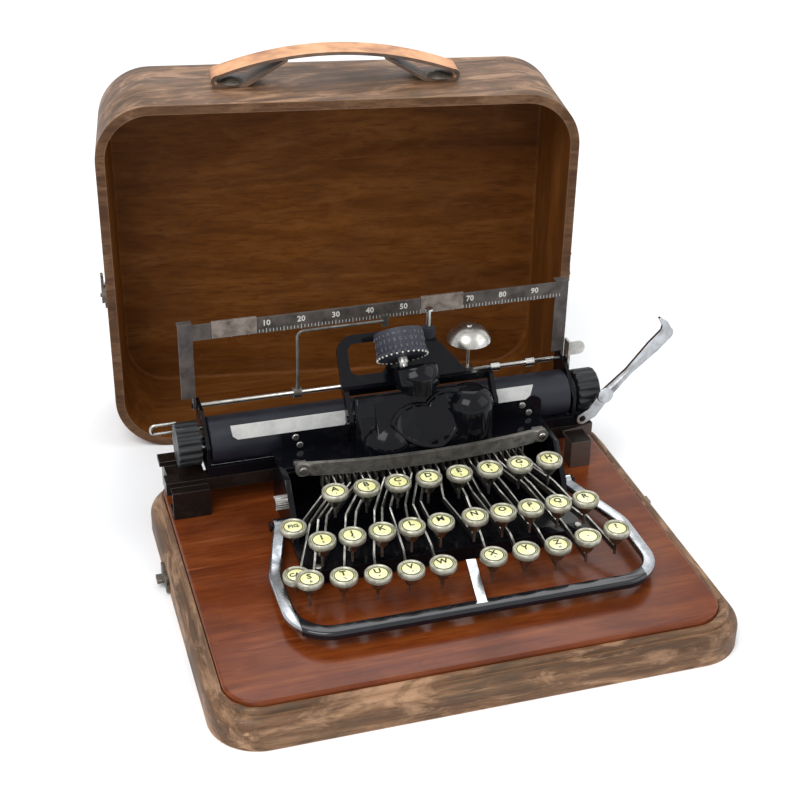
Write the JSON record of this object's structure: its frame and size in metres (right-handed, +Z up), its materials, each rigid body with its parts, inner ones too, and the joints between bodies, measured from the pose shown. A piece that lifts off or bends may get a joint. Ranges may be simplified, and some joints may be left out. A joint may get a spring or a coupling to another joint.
{
  "type": "portable typewriter",
  "caption": "Portable typewheel typewriter with a fan of round keys, sliding carriage and line scale, on a wooden case base with its lid standing behind.",
  "frame": {"origin": "centre of the case base's underside", "axes": "+X to the typist's right, +Y away from the typist, +Z up"},
  "size_m": [0.4033, 0.4734, 0.3087],
  "materials": {
    "oak_case": "worn varnished oak",
    "mahogany_panel": "varnished red-brown wood",
    "brown_steel": "tarnished steel",
    "tan_leather": "worn leather",
    "nickel_plate": "aged nickel plate",
    "grey_steel": "dull steel",
    "black_japan": "gloss black japan",
    "platen_rubber": "hard satin rubber",
    "black_vulcanite": "satin black",
    "type_vulcanite": "matt dark grey",
    "ink_felt": "inked felt"
  },
  "bodies": {
    "base": {"base_plinth": "oak_case", "base_panel": "mahogany_panel", "base_catches": "brown_steel", "carriage_way": "nickel_plate", "main_frame": "black_japan", "frame_screws": "nickel_plate", "lever_guide": "grey_steel", "fulcrum_rod": "grey_steel", "head_casing": "black_japan", "line_gauges": "nickel_plate"},
    "carriage": {"carriage_frame": "black_japan", "carriage_rods": "grey_steel", "bell": "nickel_plate"},
    "platen": {"platen_roller": "platen_rubber", "platen_knobs": "black_vulcanite"},
    "line_space_lever": {"line_space_lever": "nickel_plate"},
    "scale_frame": {"scale_bar": "grey_steel"},
    "paper_wire": {"paper_wire": "grey_steel"},
    "release_lever": {"release_lever": "nickel_plate"},
    "swing_frame": {"swing_frame": "black_japan"},
    "type_wheel": {"type_wheel": "type_vulcanite"},
    "ink_roller": {"ink_roller": "ink_felt"},
    "space_bar": {"space_bar": "nickel_plate", "space_bar_grip": "black_vulcanite"},
    "lid": {"lid_band": "oak_case", "lid_panel": "oak_case", "lid_handle": "tan_leather", "lid_fittings": "brown_steel"},
    "latch_left": {"latch_left": "brown_steel"},
    "latch_right": {"latch_right": "brown_steel"},
    "key_a": {"key_a": "grey_steel"},
    "key_b": {"key_b": "grey_steel"},
    "key_c": {"key_c": "grey_steel"},
    "key_d": {"key_d": "grey_steel"},
    "key_e": {"key_e": "grey_steel"},
    "key_f": {"key_f": "grey_steel"},
    "key_g": {"key_g": "grey_steel"},
    "key_h": {"key_h": "grey_steel"},
    "key_i": {"key_i": "grey_steel"},
    "key_j": {"key_j": "grey_steel"},
    "key_k": {"key_k": "grey_steel"},
    "key_l": {"key_l": "grey_steel"},
    "key_m": {"key_m": "grey_steel"},
    "key_n": {"key_n": "grey_steel"},
    "key_o": {"key_o": "grey_steel"},
    "key_p": {"key_p": "grey_steel"},
    "key_q": {"key_q": "grey_steel"},
    "key_r": {"key_r": "grey_steel"},
    "key_s": {"key_s": "grey_steel"},
    "key_t": {"key_t": "grey_steel"},
    "key_u": {"key_u": "grey_steel"},
    "key_v": {"key_v": "grey_steel"},
    "key_w": {"key_w": "grey_steel"},
    "key_x": {"key_x": "grey_steel"},
    "key_y": {"key_y": "grey_steel"},
    "key_z": {"key_z": "grey_steel"},
    "key_stop": {"key_stop": "grey_steel"},
    "key_query": {"key_query": "grey_steel"},
    "key_figures": {"key_figures": "grey_steel"},
    "key_capitals": {"key_capitals": "grey_steel"}
  },
  "joints": [
    {"name": "carriage_slide", "type": "slide", "parent": "base", "child": "carriage", "axis": [1, 0, 0], "range_m": [-0.095, 0.095]},
    {"name": "platen_turn", "type": "hinge", "parent": "carriage", "child": "platen", "pos_m": [0, 0.1, 0.076], "axis": [1, 0, 0], "continuous": true},
    {"name": "line_space_pivot", "type": "hinge", "parent": "carriage", "child": "line_space_lever", "pos_m": [0.145, 0.0803, 0.0625], "axis": [0, -1, 0], "range_deg": [0, 30], "stiffness_Nm_per_rad": 0.12, "springref_deg": -28.65},
    {"name": "scale_fold", "type": "hinge", "parent": "carriage", "child": "scale_frame", "pos_m": [0, 0.121, 0.094], "axis": [-1, 0, 0], "range_deg": [0, 50]},
    {"name": "paper_wire_slide", "type": "slide", "parent": "carriage", "child": "paper_wire", "axis": [1, 0, 0], "range_m": [-0.015, 0.025]},
    {"name": "release_pivot", "type": "hinge", "parent": "carriage", "child": "release_lever", "pos_m": [0.1413, 0.109, 0.094], "axis": [1, 0, 0], "range_deg": [0, 25], "stiffness_Nm_per_rad": 0.01, "springref_deg": -17.19},
    {"name": "head_swing", "type": "hinge", "parent": "base", "child": "swing_frame", "pos_m": [0.012, 0.064, 0.1], "axis": [-1, 0, 0], "range_deg": [0, 13], "stiffness_Nm_per_rad": 1, "springref_deg": -11.46},
    {"name": "type_wheel_turn", "type": "hinge", "parent": "swing_frame", "child": "type_wheel", "pos_m": [-0.0015, 0.07, 0.141], "axis": [0, 0.6561, 0.7547], "continuous": true},
    {"name": "ink_roller_turn", "type": "hinge", "parent": "swing_frame", "child": "ink_roller", "pos_m": [0.026, 0.097, 0.143], "axis": [0, 0, 1], "continuous": true},
    {"name": "space_bar_press", "type": "hinge", "parent": "base", "child": "space_bar", "pos_m": [0, 0.034, 0.04], "axis": [1, 0, 0], "range_deg": [0, 2.3], "stiffness_Nm_per_rad": 5, "springref_deg": -4.58},
    {"name": "lid_lift", "type": "slide", "parent": "base", "child": "lid", "axis": [0, 0, 1], "range_m": [0, 0.25]},
    {"name": "latch_left_turn", "type": "hinge", "parent": "lid", "child": "latch_left", "pos_m": [-0.18795, 0.24881, 0.128], "axis": [0.9888, -0.1495, 0], "range_deg": [-90, 90]},
    {"name": "latch_right_turn", "type": "hinge", "parent": "lid", "child": "latch_right", "pos_m": [0.17453, 0.19399, 0.128], "axis": [0.9888, -0.1495, 0], "range_deg": [-90, 90]},
    {"name": "key_a_press", "type": "hinge", "parent": "base", "child": "key_a", "pos_m": [0, 0.064, 0.064], "axis": [1, 0, 0], "range_deg": [0, 5.54], "stiffness_Nm_per_rad": 0.5, "springref_deg": -6.88},
    {"name": "key_b_press", "type": "hinge", "parent": "base", "child": "key_b", "pos_m": [0, 0.064, 0.064], "axis": [1, 0, 0], "range_deg": [0, 5.54], "stiffness_Nm_per_rad": 0.5, "springref_deg": -6.88},
    {"name": "key_c_press", "type": "hinge", "parent": "base", "child": "key_c", "pos_m": [0, 0.064, 0.064], "axis": [1, 0, 0], "range_deg": [0, 5.54], "stiffness_Nm_per_rad": 0.5, "springref_deg": -6.88},
    {"name": "key_d_press", "type": "hinge", "parent": "base", "child": "key_d", "pos_m": [0, 0.064, 0.064], "axis": [1, 0, 0], "range_deg": [0, 5.54], "stiffness_Nm_per_rad": 0.5, "springref_deg": -6.88},
    {"name": "key_e_press", "type": "hinge", "parent": "base", "child": "key_e", "pos_m": [0, 0.064, 0.064], "axis": [1, 0, 0], "range_deg": [0, 5.54], "stiffness_Nm_per_rad": 0.5, "springref_deg": -6.88},
    {"name": "key_f_press", "type": "hinge", "parent": "base", "child": "key_f", "pos_m": [0, 0.064, 0.064], "axis": [1, 0, 0], "range_deg": [0, 5.54], "stiffness_Nm_per_rad": 0.5, "springref_deg": -6.88},
    {"name": "key_g_press", "type": "hinge", "parent": "base", "child": "key_g", "pos_m": [0, 0.064, 0.064], "axis": [1, 0, 0], "range_deg": [0, 5.54], "stiffness_Nm_per_rad": 0.5, "springref_deg": -6.88},
    {"name": "key_h_press", "type": "hinge", "parent": "base", "child": "key_h", "pos_m": [0, 0.064, 0.064], "axis": [1, 0, 0], "range_deg": [0, 5.54], "stiffness_Nm_per_rad": 0.5, "springref_deg": -6.88},
    {"name": "key_i_press", "type": "hinge", "parent": "base", "child": "key_i", "pos_m": [0, 0.064, 0.064], "axis": [1, 0, 0], "range_deg": [0, 3.28], "stiffness_Nm_per_rad": 0.5, "springref_deg": -6.88},
    {"name": "key_j_press", "type": "hinge", "parent": "base", "child": "key_j", "pos_m": [0, 0.064, 0.064], "axis": [1, 0, 0], "range_deg": [0, 3.28], "stiffness_Nm_per_rad": 0.5, "springref_deg": -6.88},
    {"name": "key_k_press", "type": "hinge", "parent": "base", "child": "key_k", "pos_m": [0, 0.064, 0.064], "axis": [1, 0, 0], "range_deg": [0, 3.28], "stiffness_Nm_per_rad": 0.5, "springref_deg": -6.88},
    {"name": "key_l_press", "type": "hinge", "parent": "base", "child": "key_l", "pos_m": [0, 0.064, 0.064], "axis": [1, 0, 0], "range_deg": [0, 3.28], "stiffness_Nm_per_rad": 0.5, "springref_deg": -6.88},
    {"name": "key_m_press", "type": "hinge", "parent": "base", "child": "key_m", "pos_m": [0, 0.064, 0.064], "axis": [1, 0, 0], "range_deg": [0, 3.28], "stiffness_Nm_per_rad": 0.5, "springref_deg": -6.88},
    {"name": "key_n_press", "type": "hinge", "parent": "base", "child": "key_n", "pos_m": [0, 0.064, 0.064], "axis": [1, 0, 0], "range_deg": [0, 3.28], "stiffness_Nm_per_rad": 0.5, "springref_deg": -6.88},
    {"name": "key_o_press", "type": "hinge", "parent": "base", "child": "key_o", "pos_m": [0, 0.064, 0.064], "axis": [1, 0, 0], "range_deg": [0, 3.28], "stiffness_Nm_per_rad": 0.5, "springref_deg": -6.88},
    {"name": "key_p_press", "type": "hinge", "parent": "base", "child": "key_p", "pos_m": [0, 0.064, 0.064], "axis": [1, 0, 0], "range_deg": [0, 3.28], "stiffness_Nm_per_rad": 0.5, "springref_deg": -6.88},
    {"name": "key_q_press", "type": "hinge", "parent": "base", "child": "key_q", "pos_m": [0, 0.064, 0.064], "axis": [1, 0, 0], "range_deg": [0, 3.28], "stiffness_Nm_per_rad": 0.5, "springref_deg": -6.88},
    {"name": "key_r_press", "type": "hinge", "parent": "base", "child": "key_r", "pos_m": [0, 0.064, 0.064], "axis": [1, 0, 0], "range_deg": [0, 3.28], "stiffness_Nm_per_rad": 0.5, "springref_deg": -6.88},
    {"name": "key_s_press", "type": "hinge", "parent": "base", "child": "key_s", "pos_m": [0, 0.064, 0.064], "axis": [1, 0, 0], "range_deg": [0, 2.58], "stiffness_Nm_per_rad": 0.5, "springref_deg": -6.88},
    {"name": "key_t_press", "type": "hinge", "parent": "base", "child": "key_t", "pos_m": [0, 0.064, 0.064], "axis": [1, 0, 0], "range_deg": [0, 2.53], "stiffness_Nm_per_rad": 0.5, "springref_deg": -6.88},
    {"name": "key_u_press", "type": "hinge", "parent": "base", "child": "key_u", "pos_m": [0, 0.064, 0.064], "axis": [1, 0, 0], "range_deg": [0, 2.46], "stiffness_Nm_per_rad": 0.5, "springref_deg": -6.88},
    {"name": "key_v_press", "type": "hinge", "parent": "base", "child": "key_v", "pos_m": [0, 0.064, 0.064], "axis": [1, 0, 0], "range_deg": [0, 2.44], "stiffness_Nm_per_rad": 0.5, "springref_deg": -6.88},
    {"name": "key_w_press", "type": "hinge", "parent": "base", "child": "key_w", "pos_m": [0, 0.064, 0.064], "axis": [1, 0, 0], "range_deg": [0, 2.44], "stiffness_Nm_per_rad": 0.5, "springref_deg": -6.88},
    {"name": "key_x_press", "type": "hinge", "parent": "base", "child": "key_x", "pos_m": [0, 0.064, 0.064], "axis": [1, 0, 0], "range_deg": [0, 2.44], "stiffness_Nm_per_rad": 0.5, "springref_deg": -6.88},
    {"name": "key_y_press", "type": "hinge", "parent": "base", "child": "key_y", "pos_m": [0, 0.064, 0.064], "axis": [1, 0, 0], "range_deg": [0, 2.44], "stiffness_Nm_per_rad": 0.5, "springref_deg": -6.88},
    {"name": "key_z_press", "type": "hinge", "parent": "base", "child": "key_z", "pos_m": [0, 0.064, 0.064], "axis": [1, 0, 0], "range_deg": [0, 2.44], "stiffness_Nm_per_rad": 0.5, "springref_deg": -6.88},
    {"name": "key_stop_press", "type": "hinge", "parent": "base", "child": "key_stop", "pos_m": [0, 0.064, 0.064], "axis": [1, 0, 0], "range_deg": [0, 2.51], "stiffness_Nm_per_rad": 0.5, "springref_deg": -6.88},
    {"name": "key_query_press", "type": "hinge", "parent": "base", "child": "key_query", "pos_m": [0, 0.064, 0.064], "axis": [1, 0, 0], "range_deg": [0, 2.58], "stiffness_Nm_per_rad": 0.5, "springref_deg": -6.88},
    {"name": "key_figures_press", "type": "hinge", "parent": "base", "child": "key_figures", "pos_m": [0, 0.064, 0.064], "axis": [1, 0, 0], "range_deg": [0, 3.37], "stiffness_Nm_per_rad": 0.5, "springref_deg": -6.88},
    {"name": "key_capitals_press", "type": "hinge", "parent": "base", "child": "key_capitals", "pos_m": [0, 0.064, 0.064], "axis": [1, 0, 0], "range_deg": [0, 2.2], "stiffness_Nm_per_rad": 0.5, "springref_deg": -6.88}
  ]
}
